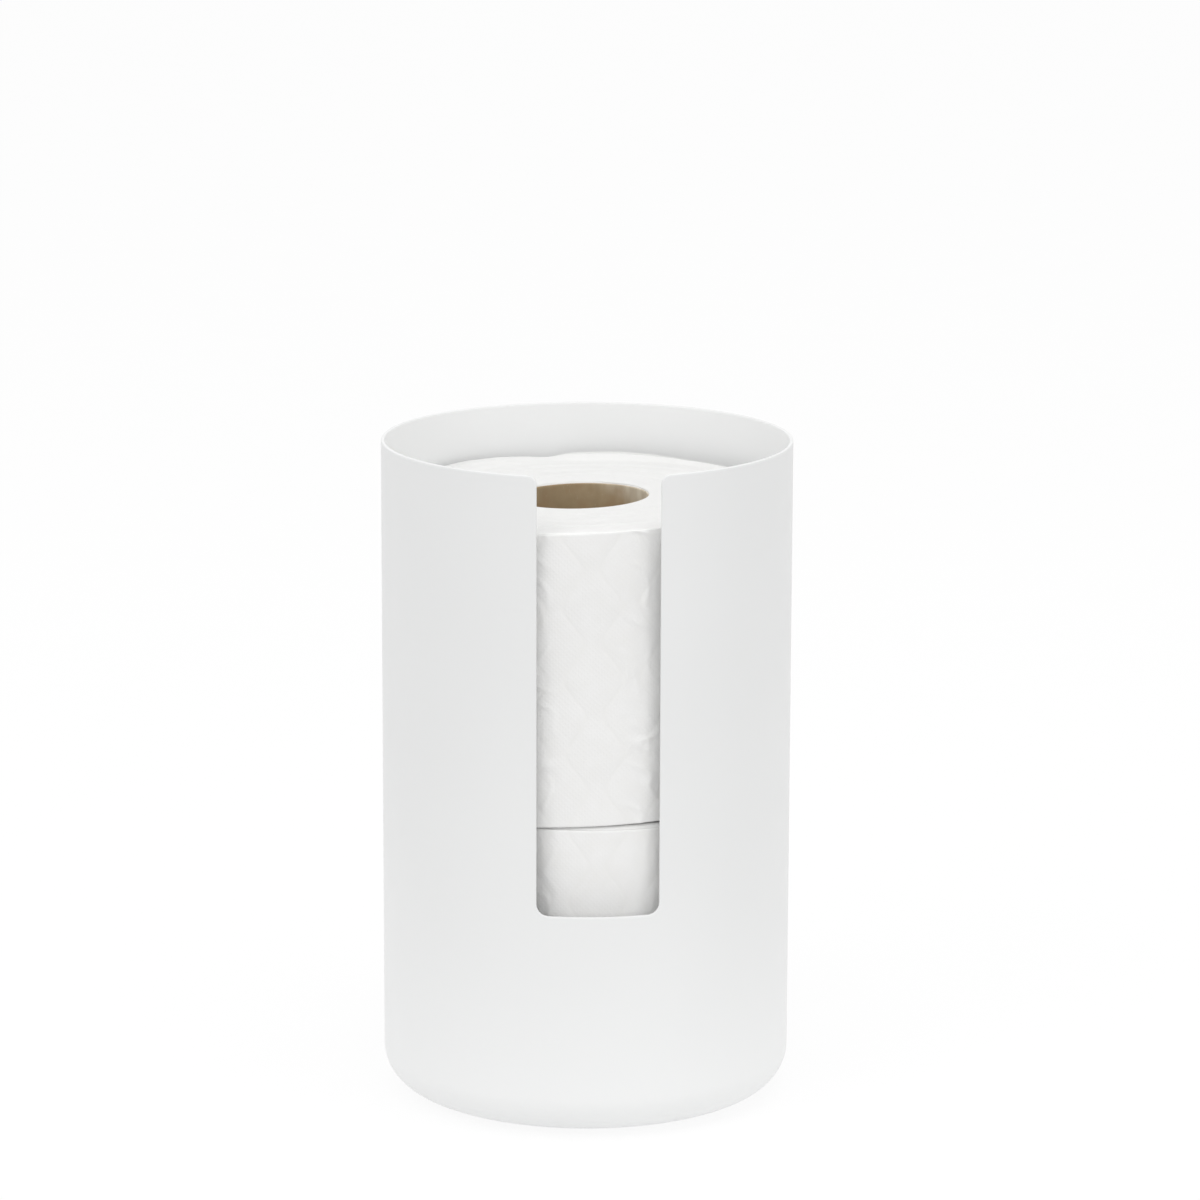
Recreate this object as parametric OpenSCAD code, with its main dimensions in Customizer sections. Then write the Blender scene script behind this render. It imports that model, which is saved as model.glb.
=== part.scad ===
// Storage can for two toilet rolls, with a finger slot in the front of its wall.
// Millimetres, +Z up. The origin is on the ground, on the axis of the can.
// The slot faces -Y.

/* [Can] */
// Outer diameter of the can
body_d = 135.5; // [132:0.5:180]
// Height of the rim above the underside of the can
body_h = 219; // [205:1:300]
// Thickness of the drawn sheet
wall = 1.2; // [0.8:0.1:2]
// Outer radius of the rounded corner between wall and floor
corner_r = 13; // [6:0.5:18]
// Radius that softens the two edges of the rim
rim_r = 0.4; // [0.1:0.05:0.4]

/* [Slot] */
// Width of the slot
slot_w = 39.6; // [24:0.2:60]
// Height of the slot's lower edge above the underside of the can
slot_z = 74.7; // [40:0.1:120]
// Radius of the two lower corners of the slot
slot_corner_r = 3.8; // [1:0.1:10]
// Radius where the slot's sides meet the rim
slot_mouth_r = 3; // [1:0.1:8]

/* [Foot] */
// How far the foot ring lies inside the start of the rounded corner
foot_inset = 5.75; // [2:0.25:20]
// Width of the foot ring's section
foot_w = 8; // [5:0.5:12]
// How far the foot ring stands below the can
foot_proud = 1; // [0.5:0.1:2]
// Depth of the groove that seats the foot ring
groove_h = 1.3; // [0.8:0.1:2]
// Radius of the foot ring's two lower edges
foot_edge_r = 0.7; // [0.2:0.1:0.9]
// Clearance round the foot ring in its groove
foot_fit = 0.05; // [0:0.01:0.2]

/* [Rolls] */
// Play between a roll's last loose turn and the wall of the can
roll_play = 3.05; // [1.5:0.05:8]
// Height of a roll
roll_h = 96.4; // [80:0.2:105]
// Radius that softens the ends of the wound paper
paper_edge_r = 1.5; // [0.5:0.1:4]
// Outer diameter of the cardboard core
core_d = 47; // [38:0.5:54]
// Thickness of the cardboard core
core_wall = 1; // [0.6:0.1:2]
// How far the core ends short of the paper at each end
core_recess = 0.8; // [0:0.1:3]
// Depth that the last loose turn takes up
wrap_t = 0.8; // [0.3:0.05:1.2]
// Gap between the paper and what it is wound on, or what is wound on it
wound_fit = 0.05; // [0.02:0.01:0.2]

/* [Stacking] */
// Lean of the upper roll, its right side up
lean = 1.4; // [0:0.1:1.6]
// Gap between the leaning top of the upper roll and the left wall
side_gap = 1.4; // [0.3:0.1:2.5]
// Gap kept where a roll rests on the can or on the other roll
rest_gap = 0.3; // [0.1:0.05:0.6]
// How far the upper roll's loose turn has slipped upwards
upper_slip = 1.8; // [0:0.1:4]
// How far the lower roll's loose turn has slipped upwards
lower_slip = 0.5; // [0:0.1:1.5]
// Where the upper roll's loose turn starts, counted from the front to the right
upper_wrap_start = -17; // [-40:1:20]
// How far round the upper roll its loose turn goes
upper_wrap_arc = 205; // [90:5:300]
// Where the lower roll's loose turn starts, counted from the front to the right
lower_wrap_start = -30; // [-60:1:20]
// How far round the lower roll its loose turn goes
lower_wrap_arc = 250; // [90:5:300]

/* [Hidden] */
$fn = 180;
// Angle of the front of the can, and an overrun that lets cuts pass their faces
front = -90;
over = 2;

body_r = body_d / 2;
bore_r = body_r - wall;
base_z = foot_proud;
rim_z = base_z + body_h;
floor_z = base_z + wall;
// The rounded corner is an arc about this circle
corner_axis_r = body_r - corner_r;
corner_axis_z = base_z + corner_r;
corner_in_r = corner_r - wall;

foot_out_r = corner_axis_r - foot_inset;
foot_in_r = foot_out_r - foot_w;
// Top of the ridge that the foot's groove raises in the floor
ridge_z = floor_z + groove_h;

roll_r = bore_r - roll_play;
paper_r = roll_r - wrap_t - wound_fit;
core_r = core_d / 2;
core_h = roll_h - 2 * core_recess;

// The lower roll sits where its outer edge meets the rounded corner, or on the ridge if that is higher
seat_reach = corner_in_r - rest_gap;
seat_in = max(0, roll_r - corner_axis_r);
seat_z = corner_axis_z - sqrt(max(0, seat_reach * seat_reach - seat_in * seat_in));
lower_z = max(seat_z, ridge_z + rest_gap);
lower_top_z = lower_z + roll_h;
lower_wrap_end = lower_wrap_start + lower_wrap_arc;
// Share of its radius by which the lower roll's loose turn reaches to the left
turn_reach = lower_wrap_end >= 270 ? 1 : max(-sin(lower_wrap_start), -sin(lower_wrap_end));
// The upper roll stands on its lowest edge, or on the turn that has slipped up below it
edge_drop = roll_r * sin(lean);
upper_z = lower_top_z + rest_gap + max(edge_drop, lower_slip + turn_reach * edge_drop);
upper_x = side_gap - bore_r + paper_r * cos(lean) + roll_h * sin(lean);

// A rectangle in the half plane of a turned piece
module band(r_in, r_out, z_low, z_high) {
    translate([r_in, z_low])
        square([r_out - r_in, z_high - z_low]);
}

// Half the outline of a can that is r wide and rounded by corner at its foot
module can_outline(r, z_low, z_high, corner) {
    band(0, r - corner, z_low, z_high);
    band(0, r, z_low + corner, z_high);
    translate([r - corner, z_low + corner])
        intersection() {
            circle(corner);
            translate([0, -corner])
                square(corner);
        }
}

// The square left over outside a quarter circle, turned towards +X and +Y
module edge_cut(r) {
    difference() {
        square(r + over);
        circle(r);
    }
}

// Section of the sheet, from the axis to the rim
module sheet_section() {
    difference() {
        can_outline(body_r, base_z, rim_z, corner_r);
        difference() {
            can_outline(bore_r, floor_z, rim_z + over, corner_in_r);
            band(foot_in_r - wall, foot_out_r + wall, base_z, ridge_z);
        }
        band(foot_in_r - foot_fit, foot_out_r + foot_fit, base_z - over, base_z + groove_h);
        translate([body_r - rim_r, rim_z - rim_r])
            edge_cut(rim_r);
        translate([bore_r + rim_r, rim_z - rim_r])
            mirror([1, 0])
                edge_cut(rim_r);
    }
}

// Front view of the slot: rounded below, and flared where it meets the rim
module slot_outline() {
    half = slot_w / 2;
    low = base_z + slot_z;
    translate([-half, low + slot_corner_r])
        square([slot_w, rim_z - low - slot_corner_r + over]);
    translate([slot_corner_r - half, low])
        square([slot_w - 2 * slot_corner_r, slot_corner_r + over]);
    for (side = [-1, 1]) {
        translate([side * (half - slot_corner_r), low + slot_corner_r])
            circle(slot_corner_r);
        difference() {
            translate([side * (half + slot_mouth_r / 2), rim_z - slot_mouth_r / 2 + over / 2])
                square([slot_mouth_r, slot_mouth_r + over], center = true);
            translate([side * (half + slot_mouth_r), rim_z - slot_mouth_r])
                circle(slot_mouth_r);
        }
    }
}

// Drawn can with the slot cut through the front of its wall
module body_shell() {
    color([0.92, 0.93, 0.92])
        difference() {
            rotate_extrude()
                sheet_section();
            translate([0, -body_r / 2, 0])
                rotate([90, 0, 0])
                    linear_extrude(body_r)
                        slot_outline();
        }
}

// Silicone ring, square above where it is glued in and soft-edged below
module foot_ring() {
    color([0.80, 0.81, 0.80])
        rotate_extrude() {
            band(foot_in_r, foot_out_r, foot_edge_r, base_z + groove_h - foot_fit);
            band(foot_in_r + foot_edge_r, foot_out_r - foot_edge_r, 0, foot_edge_r);
            for (r = [foot_in_r + foot_edge_r, foot_out_r - foot_edge_r])
                translate([r, foot_edge_r])
                    circle(foot_edge_r);
        }
}

// Cardboard tube, standing from z = core_recess on the axis of its roll
module core_tube() {
    color([0.62, 0.50, 0.38])
        rotate_extrude()
            band(core_r - core_wall, core_r, core_recess, core_recess + core_h);
}

// Wound paper round the core, with soft outer ends
module wound_paper() {
    color([0.95, 0.95, 0.94])
        rotate_extrude()
            difference() {
                band(core_r + wound_fit, paper_r, 0, roll_h);
                translate([paper_r - paper_edge_r, roll_h - paper_edge_r])
                    edge_cut(paper_edge_r);
                translate([paper_r - paper_edge_r, paper_edge_r])
                    mirror([0, 1])
                        edge_cut(paper_edge_r);
            }
}

// Last turn of the paper, from the angle start round to its free end
module loose_turn(start, arc) {
    color([0.96, 0.96, 0.95])
        rotate([0, 0, front + start])
            rotate_extrude(angle = arc)
                band(paper_r + wound_fit, roll_r, 0, roll_h);
}

// Places what it is given on the axis of the lower roll
module in_lower_roll() {
    translate([0, 0, lower_z])
        children();
}

// Places what it is given on the leaning axis of the upper roll
module in_upper_roll() {
    translate([upper_x, 0, upper_z])
        rotate([0, -lean, 0])
            children();
}

module lower_core() {
    in_lower_roll()
        core_tube();
}

module lower_paper() {
    in_lower_roll()
        wound_paper();
}

module lower_wrap() {
    in_lower_roll()
        translate([0, 0, lower_slip])
            loose_turn(lower_wrap_start, lower_wrap_arc);
}

module upper_core() {
    in_upper_roll()
        core_tube();
}

module upper_paper() {
    in_upper_roll()
        wound_paper();
}

module upper_wrap() {
    in_upper_roll()
        translate([0, 0, upper_slip])
            loose_turn(upper_wrap_start, upper_wrap_arc);
}

body_shell();
foot_ring();
lower_core();
lower_paper();
lower_wrap();
upper_core();
upper_paper();
upper_wrap();
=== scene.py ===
"""Looks of a white storage can and the two toilet rolls that stand in it.

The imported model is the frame, so places come from its nodes. The can stands on z = 0 and its slot
faces -Y. Meshes are worked out in millimetres and stored in metres. A turn counts from the front,
anticlockwise seen from above, so a quarter turn is the right side.
"""

import sys

import logging
import math
from dataclasses import dataclass, field
from enum import Enum, IntEnum

import bmesh
import bpy
import numpy as np
from mathutils import Matrix, Vector


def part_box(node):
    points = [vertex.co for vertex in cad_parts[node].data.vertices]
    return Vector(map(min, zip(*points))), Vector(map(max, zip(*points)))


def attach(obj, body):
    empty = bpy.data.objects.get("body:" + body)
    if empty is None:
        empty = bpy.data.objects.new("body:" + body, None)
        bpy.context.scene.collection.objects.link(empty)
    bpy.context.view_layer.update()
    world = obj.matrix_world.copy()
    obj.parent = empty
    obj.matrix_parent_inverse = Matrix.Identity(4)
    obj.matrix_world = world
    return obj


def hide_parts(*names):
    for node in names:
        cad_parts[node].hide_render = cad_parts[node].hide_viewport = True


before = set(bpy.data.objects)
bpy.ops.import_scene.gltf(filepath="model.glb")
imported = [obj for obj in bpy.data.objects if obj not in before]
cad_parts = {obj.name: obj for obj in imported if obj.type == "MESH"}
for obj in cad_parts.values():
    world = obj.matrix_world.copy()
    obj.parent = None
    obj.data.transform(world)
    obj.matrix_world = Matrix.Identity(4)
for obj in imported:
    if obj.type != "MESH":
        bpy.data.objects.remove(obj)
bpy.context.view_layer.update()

Array = np.ndarray
Colour = tuple[float, float, float]
Pairs = tuple[tuple[float, float], ...]
Socket = bpy.types.NodeSocket
Source = Socket | float
MM = 0.001
FULL = 2 * math.pi
WELD = 0.002
WHITE = (1.0, 1.0, 1.0, 1.0)
NOISE_SPAN = (0.3, 0.7)
WHOLE_SPAN = (0.0, 1.0)
MIX_SHARE = 0
MIX_FIRST = 6
MIX_SECOND = 7
MIX_COLOUR = 2
WINDING_MAP = "winding"
log = logging.getLogger("storage_can")


class Body(Enum):
    """The bodies that the pieces ride on."""

    HOLDER = "holder"
    LOWER_ROLL = "lower_roll"
    UPPER_ROLL = "upper_roll"


class Slot(Enum):
    """The record's material slots of the pieces that are made here."""

    POWDER_COAT = "powder_coat"
    TISSUE = "tissue"
    BOARD = "board"


class Draw(IntEnum):
    """Where the seeds of each kind of unevenness start. A roll's own seed comes on top."""

    SWELL = 20
    EDGE_WAVE = 40
    LOOSENESS = 70
    BOARD = 90
    CREASE = 120


def eased(value: Array | float, start: float, end: float) -> Array:
    """Rises smoothly from 0 at start to 1 at end.

    Args:
        value: Where to evaluate it.
        start: Where the rise begins.
        end: Where it is complete; below start for a fall.

    Returns:
        The share of the rise at each value.
    """
    share = np.clip((np.asarray(value, float) - start) / (end - start), 0.0, 1.0)
    return share * share * (3.0 - 2.0 * share)


def hump(value: Array, middle: float, reach: float) -> Array:
    """A smooth bump of height 1.

    Args:
        value: Where to evaluate it.
        middle: Where its top is.
        reach: How far from the top it has all but gone.

    Returns:
        The height of the bump at each value.
    """
    return np.exp(-(((np.asarray(value, float) - middle) / (0.5 * reach)) ** 2))


def unevenness(turn: Array, rise: Array, seed: int, finest: int, waves: int = 9) -> Array:
    """Seamless soft unevenness, mostly between -1 and 1.

    Args:
        turn: Turns round the axis.
        rise: Share of the height.
        seed: Picks the waves.
        finest: Most periods of a wave in one turn. Over the height a wave has up to 0.4 of it.
        waves: How many waves it is made of.

    Returns:
        The unevenness at each place.
    """
    draw = np.random.default_rng(seed)
    total = np.zeros(np.broadcast(turn, rise).shape)
    for _ in range(waves):
        around = int(draw.integers(1, finest + 1))
        upright = draw.uniform(-0.4, 0.4) * finest
        total = total + np.cos(FULL * (around * turn + upright * rise) + draw.uniform(0, FULL))
    return total / math.sqrt(waves)


def degrees_from(turn: Array, middle: float) -> Array:
    """How far round from a place the turns are, in degrees between -180 and 180."""
    return (turn * 360.0 - middle + 180.0) % 360.0 - 180.0


def round_table(marks: Pairs, turn: Array, softening: float = 3.0) -> Array:
    """Softly joins values that are given at some angles of a full turn.

    Args:
        marks: Angle in degrees and value, in rising order over one turn.
        turn: Where to evaluate it, in turns.
        softening: How far on either side the values are averaged, in degrees.

    Returns:
        The value at each place.
    """
    angles, values = np.array(marks).T
    degrees = turn * 360.0
    steps = np.linspace(-softening, softening, 5)
    nearby = [np.interp(degrees + step, angles, values, period=360.0) for step in steps]
    return sum(nearby) / len(nearby)


def round_axis(radius: Array, angle: Array, height: Array) -> Array:
    """Points round an upright axis.

    Args:
        radius: Distance from the axis.
        angle: Angle from the front to the right, in radians.
        height: Height of each.

    Returns:
        XYZ for each.
    """
    across = radius * np.sin(angle)
    return np.stack(np.broadcast_arrays(across, -radius * np.cos(angle), height), -1)


def winding_at(first: Array | float, second: Array | float) -> Array:
    """The winding map's two coordinates, put together for each place."""
    return np.stack(np.broadcast_arrays(first, second), -1)


def ring_turns(columns: int, closed: bool = False) -> Array:
    """Turns at the columns of a ring, with the full turn too where it is closed."""
    return np.arange(columns + closed)[None] / columns


def rounded_path(corners: list[tuple[float, float]], radii: list[float], steps: int = 5) -> Array:
    """A path of straight stretches whose inner corners are rounded.

    Args:
        corners: The corners of the path, ends included.
        radii: Radius at each corner between the ends.
        steps: Number of chords in each rounding.

    Returns:
        The points of the path, one row each.
    """
    points = [np.array(corners[0], float)]
    for before, here, after, radius in zip(corners, corners[1:], corners[2:], radii):
        corner = np.array(here, float)
        back = np.array(before, float) - corner
        on = np.array(after, float) - corner
        back /= np.linalg.norm(back)
        on /= np.linalg.norm(on)
        half = 0.5 * math.acos(float(np.clip(back @ on, -1, 1)))
        middle = corner + (back + on) / np.linalg.norm(back + on) * radius / math.sin(half)
        first = corner + back * radius / math.tan(half) - middle
        last = corner + on * radius / math.tan(half) - middle
        sweep = math.pi - 2 * half
        for k in range(steps + 1):
            share = k / steps
            arm = math.sin((1 - share) * sweep) * first + math.sin(share * sweep) * last
            points.append(middle + arm / math.sin(sweep))
    points.append(np.array(corners[-1], float))
    return np.array(points)


class Skin:
    """Quads gathered from grids of points and made into one smooth mesh."""

    def __init__(self) -> None:
        """Starts with no points."""
        self.points: list[Array] = []
        self.quads: list[Array] = []
        self.finish: list[Array] = []
        self.winding: list[Array] = []
        self.count = 0

    def add_grid(
        self,
        points: Array,
        ring: bool = False,
        turned: bool = False,
        finish: Array | int = 0,
        winding: Array | None = None,
    ) -> None:
        """Adds a grid of quads.

        Args:
            points: Rows by columns by XYZ, in millimetres.
            ring: Whether the last column joins the first.
            turned: Whether the faces look the other way.
            finish: Which material the faces have, for all or for each row of faces.
            winding: UV of each point, with one more column than points where it is a ring.
        """
        rows, columns = points.shape[:2]
        number = self.count + np.arange(rows * columns).reshape(rows, columns)
        if ring:
            number = np.concatenate([number, number[:, :1]], axis=1)
        shape = (rows, number.shape[1], 2)
        placed = np.zeros(shape) if winding is None else np.broadcast_to(winding, shape)
        order = [(0, 0), (0, 1), (1, 1), (1, 0)]
        if turned:
            order.reverse()

        def corners(of: Array) -> Array:
            """The four corners of each quad, in order."""
            picked = [of[r : rows - 1 + r, c : of.shape[1] - 1 + c] for r, c in order]
            return np.stack(picked, axis=2)

        faces = corners(number)
        kind = np.broadcast_to(np.reshape(finish, (-1, 1)), faces.shape[:2])
        self.points.append(points.reshape(-1, 3))
        self.quads.append(faces.reshape(-1, 4))
        self.winding.append(corners(placed).reshape(-1, 4, 2))
        self.finish.append(kind.reshape(-1))
        self.count += rows * columns

    def build(
        self,
        name: str,
        finishes: list[bpy.types.Material],
        closed: bool = True,
    ) -> bpy.types.Object:
        """Welds what was gathered and makes the object.

        Args:
            name: Name of the piece.
            finishes: Its materials, in the order of the finish numbers.
            closed: Whether it is meant to have no open edge.

        Returns:
            The object, in the scene.
        """
        mesh = bpy.data.meshes.new(name)
        points = (np.concatenate(self.points) * MM).tolist()
        mesh.from_pydata(points, [], np.concatenate(self.quads).tolist())
        kinds = np.concatenate(self.finish).astype(np.int32)
        mesh.polygons.foreach_set("material_index", kinds)
        layer = mesh.uv_layers.new(name=WINDING_MAP)
        layer.uv.foreach_set("vector", np.concatenate(self.winding).astype(np.float32).ravel())
        work = bmesh.new()
        work.from_mesh(mesh)
        bmesh.ops.remove_doubles(work, verts=work.verts, dist=WELD * MM)
        bmesh.ops.recalc_face_normals(work, faces=work.faces)
        open_edges = sum(not edge.is_manifold for edge in work.edges)
        if closed and open_edges:
            log.warning("%s has %d open edges", name, open_edges)
        work.to_mesh(mesh)
        work.free()
        mesh.shade_smooth()
        for finish in finishes:
            mesh.materials.append(finish)
        piece = bpy.data.objects.new(name, mesh)
        bpy.context.scene.collection.objects.link(piece)
        return piece


@dataclass(frozen=True)
class Grain:
    """Noise whose patches are about one pitch across. Lengths are in millimetres.

    Detail is how many finer layers it has, roughness how strong they are, and depth how deep it is
    where it serves as relief.
    """

    pitch: float
    detail: float = 2.0
    roughness: float = 0.5
    depth: float = 0.0


class Graph:
    """The nodes of a material or a world, each added and joined in one call."""

    def __init__(self, owner: bpy.types.Material | bpy.types.World) -> None:
        """Starts without nodes.

        Args:
            owner: The material or the world.
        """
        owner.use_nodes = True
        self.owner = owner
        self.tree = owner.node_tree
        self.tree.nodes.clear()

    def add(self, kind: str, inputs: dict | None = None, **settings: object) -> bpy.types.Node:
        """Adds a node.

        Args:
            kind: Its type, without the ShaderNode that all begin with.
            inputs: A value or an output for each input, by name or number.
            **settings: Values for the node's own settings.

        Returns:
            The node.
        """
        node = self.tree.nodes.new("ShaderNode" + kind)
        for name, value in settings.items():
            setattr(node, name, value)
        for name, value in (inputs or {}).items():
            if isinstance(value, Socket):
                self.tree.links.new(value, node.inputs[name])
            else:
                node.inputs[name].default_value = value
        return node

    def place(self) -> Socket:
        """The place on the object, in metres."""
        return self.add("TexCoord").outputs["Object"]

    def winding(self) -> tuple[Socket, Socket]:
        """Reads the winding map.

        Returns:
            Its two coordinates.
        """
        place = self.add("UVMap", uv_map=WINDING_MAP).outputs["UV"]
        parts = self.add("SeparateXYZ", {"Vector": place}).outputs
        return parts["X"], parts["Y"]

    def seen(self) -> Socket:
        """Tells what is looked at from what only gives light.

        Returns:
            1 for what the camera sees, mirrored or through glass too, and 0 for the rest.
        """
        rays = self.add("LightPath").outputs
        seen = self.calculate("MAXIMUM", rays["Is Camera Ray"], rays["Is Glossy Ray"])
        return self.calculate("MAXIMUM", seen, rays["Is Transmission Ray"])

    def calculate(self, operation: str, *values: Source) -> Socket:
        """The result of one arithmetic step on some values or outputs."""
        return self.add("Math", dict(enumerate(values)), operation=operation).outputs[0]

    def times(self, first: Source, second: Source) -> Socket:
        """The product of two values or outputs."""
        return self.calculate("MULTIPLY", first, second)

    def noise(self, where: Socket, grain: Grain) -> Socket:
        """Adds noise.

        Args:
            where: The coordinates to read it at, in metres.
            grain: How coarse and how broken up it is.

        Returns:
            The noise, from 0 to 1.
        """
        inputs = {"Vector": where, "Scale": 1.0 / (grain.pitch * MM)}
        inputs |= {"Detail": grain.detail, "Roughness": grain.roughness}
        return self.add("TexNoise", inputs).outputs["Fac"]

    def ramp(
        self,
        value: Socket,
        span: tuple[float, float],
        low: Source = 0.0,
        high: float = 1.0,
        kind: str = "LINEAR",
    ) -> Socket:
        """Turns a span of values into another one, and holds it at both ends.

        Args:
            value: The value.
            span: Where the ramp starts and where it ends.
            low: Result at its start.
            high: Result at its end.
            kind: How the result goes from low to high.

        Returns:
            The result.
        """
        inputs = {"Value": value, "From Min": span[0], "From Max": span[1]}
        inputs |= {"To Min": low, "To Max": high}
        return self.add("MapRange", inputs, interpolation_type=kind).outputs["Result"]

    def spread(self, noise: Socket, low: float = 0.0, high: float = 1.0) -> Socket:
        """Spreads noise, which lies mostly in the middle of its range, over a new range."""
        return self.ramp(noise, NOISE_SPAN, low, high)

    def blend(self, share: Source, first: Source | Colour, second: Source | Colour) -> Socket:
        """A colour between two colours.

        Args:
            share: How much of the second one it has.
            first: A colour or an output.
            second: A colour or an output.

        Returns:
            The colour.
        """
        mixer = self.add("Mix", data_type="RGBA")
        for number, value in ((MIX_SHARE, share), (MIX_FIRST, first), (MIX_SECOND, second)):
            if isinstance(value, Socket):
                self.tree.links.new(value, mixer.inputs[number])
            else:
                whole = (*value, 1.0) if isinstance(value, tuple) else value
                mixer.inputs[number].default_value = whole
        return mixer.outputs[MIX_COLOUR]

    def bump(self, height: Socket, depth: float, below: Socket | None = None) -> Socket:
        """Relief on the surface.

        Args:
            height: The height, from 0 to 1.
            depth: How deep the whole of it is, in millimetres.
            below: Relief that it lies on.

        Returns:
            The normal.
        """
        inputs = {"Height": height, "Distance": depth * MM, "Strength": 1.0}
        if below is not None:
            inputs["Normal"] = below
        return self.add("Bump", inputs).outputs["Normal"]

    def relief(self, where: Socket, grain: Grain, below: Socket | None = None) -> Socket:
        """Relief from noise, lying on the relief below it where there is some."""
        return self.bump(self.noise(where, grain), grain.depth, below)

    def finished(self, surface: Socket) -> bpy.types.Material:
        """Ends the material with its shader."""
        self.add("OutputMaterial", {"Surface": surface})
        return self.owner

    def coated(
        self,
        colour: Socket,
        rough: Source,
        normal: Socket,
        **more: float,
    ) -> bpy.types.Material:
        """Ends the material with the common shader.

        Args:
            colour: Its colour.
            rough: Its roughness.
            normal: Its relief.
            **more: Values for other inputs, with underscores for the blanks in their names.

        Returns:
            The material.
        """
        inputs = {"Base Color": colour, "Roughness": rough, "Normal": normal}
        inputs |= {name.replace("_", " "): value for name, value in more.items()}
        return self.finished(self.add("BsdfPrincipled", inputs).outputs[0])


def new_graph(name: str) -> Graph:
    """Starts a material with the name of a finish."""
    return Graph(bpy.data.materials.new(name))


@dataclass(frozen=True)
class PowderCoat:
    """Satin white powder coating: a shallow orange peel with a finer grain in it.

    The winding map's X is 1 on the middle of a cut edge, where the colour is painted darker:
    painted shade that tones down the rounded edge's highlight.
    """

    colour: Colour = (0.848, 0.853, 0.851)
    shade: Colour = (0.838, 0.843, 0.841)
    painted_edge_shade: Colour = (0.775, 0.779, 0.777)
    drift: Grain = Grain(55.0, detail=1.0)
    peel: Grain = Grain(2.2, detail=1.0, depth=0.012)
    grain: Grain = Grain(0.35, depth=0.004)
    gloss: Grain = Grain(9.0, detail=3.0)
    smoothest: float = 0.36
    roughest: float = 0.44
    refraction: float = 1.5

    def make(self) -> bpy.types.Material:
        """Makes the finish.

        Returns:
            The material.
        """
        graph = new_graph("powder_coat_white")
        where = graph.place()
        on_edge, _ = graph.winding()
        colour = graph.blend(graph.spread(graph.noise(where, self.drift)), self.shade, self.colour)
        # Painted shade: the rounded cut edges are darkened to tone down how brightly they catch the
        # light.
        colour = graph.blend(on_edge, colour, self.painted_edge_shade)
        relief = graph.relief(where, self.grain, graph.relief(where, self.peel))
        rough = graph.spread(graph.noise(where, self.gloss), self.smoothest, self.roughest)
        return graph.coated(colour, rough, relief, IOR=self.refraction)


@dataclass(frozen=True)
class Silicone:
    """Soft matte silicone of the foot, with a little dust on it."""

    colour: Colour = (0.70, 0.71, 0.70)
    shade: Colour = (0.64, 0.65, 0.64)
    dust: Grain = Grain(6.0, detail=4.0, roughness=0.6)
    grain: Grain = Grain(0.5, depth=0.02)
    smoothest: float = 0.62
    roughest: float = 0.74
    refraction: float = 1.41

    def make(self) -> bpy.types.Material:
        """Makes the finish.

        Returns:
            The material.
        """
        graph = new_graph("silicone_grey_white")
        where = graph.place()
        dust = graph.noise(where, self.dust)
        colour = graph.blend(graph.spread(dust), self.shade, self.colour)
        rough = graph.spread(dust, self.smoothest, self.roughest)
        return graph.coated(colour, rough, graph.relief(where, self.grain), IOR=self.refraction)


@dataclass(frozen=True)
class Emboss:
    """The relief rolled into the paper: a plain lattice of swaying lines, puffed up between them.

    Depths are in millimetres. The lines lie where a field made of two waves is 0.
    """

    around: int = 16
    upright: int = 4
    sway: float = 0.74
    line: float = 0.15
    line_depth: float = 0.05
    puff: float = 0.09
    puff_reach: float = 0.8
    puff_level: float = 0.6
    dots_around: int = 216
    dots_upright: int = 53

    def relief(self, turn: Array, rise: Array) -> Array:
        """Height of the relief.

        Args:
            turn: Turns round the roll.
            rise: Share of the roll's height.

        Returns:
            The height in millimetres, 0 on average.
        """
        upright = np.cos(FULL * self.upright * rise)
        lattice = np.cos(FULL * self.around * turn) + self.sway * upright
        puffed = 1.0 - np.exp(-((lattice / self.puff_reach) ** 2))
        pressed = np.exp(-((lattice / self.line) ** 2))
        return self.puff * (puffed - self.puff_level) - self.line_depth * pressed

    def wave(self, graph: Graph, coordinate: Socket, count: int) -> Socket:
        """A cosine with a number of waves over a coordinate that runs from 0 to 1."""
        return graph.calculate("COSINE", graph.times(coordinate, FULL * count))

    def nodes(self, graph: Graph, turn: Socket, rise: Socket) -> tuple[Socket, Socket]:
        """The same lattice as nodes, and the fine dots between its lines.

        Args:
            graph: The material's nodes.
            turn: Turns round the roll.
            rise: Share of the roll's height.

        Returns:
            How far each place is pressed down in a line, and how far it is raised in a dot, both
            from 0 to 1.
        """
        sway = graph.times(self.wave(graph, rise, self.upright), self.sway)
        lattice = graph.calculate("ADD", self.wave(graph, turn, self.around), sway)
        narrow = graph.calculate("POWER", graph.times(lattice, 1.0 / self.line), 2.0)
        pressed = graph.calculate("EXPONENT", graph.times(narrow, -1.0))
        across = self.wave(graph, turn, self.dots_around)
        dots = graph.times(across, self.wave(graph, rise, self.dots_upright))
        clear = graph.calculate("SUBTRACT", 1.0, pressed)
        return pressed, graph.times(graph.calculate("MAXIMUM", dots, 0.0), clear)


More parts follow.
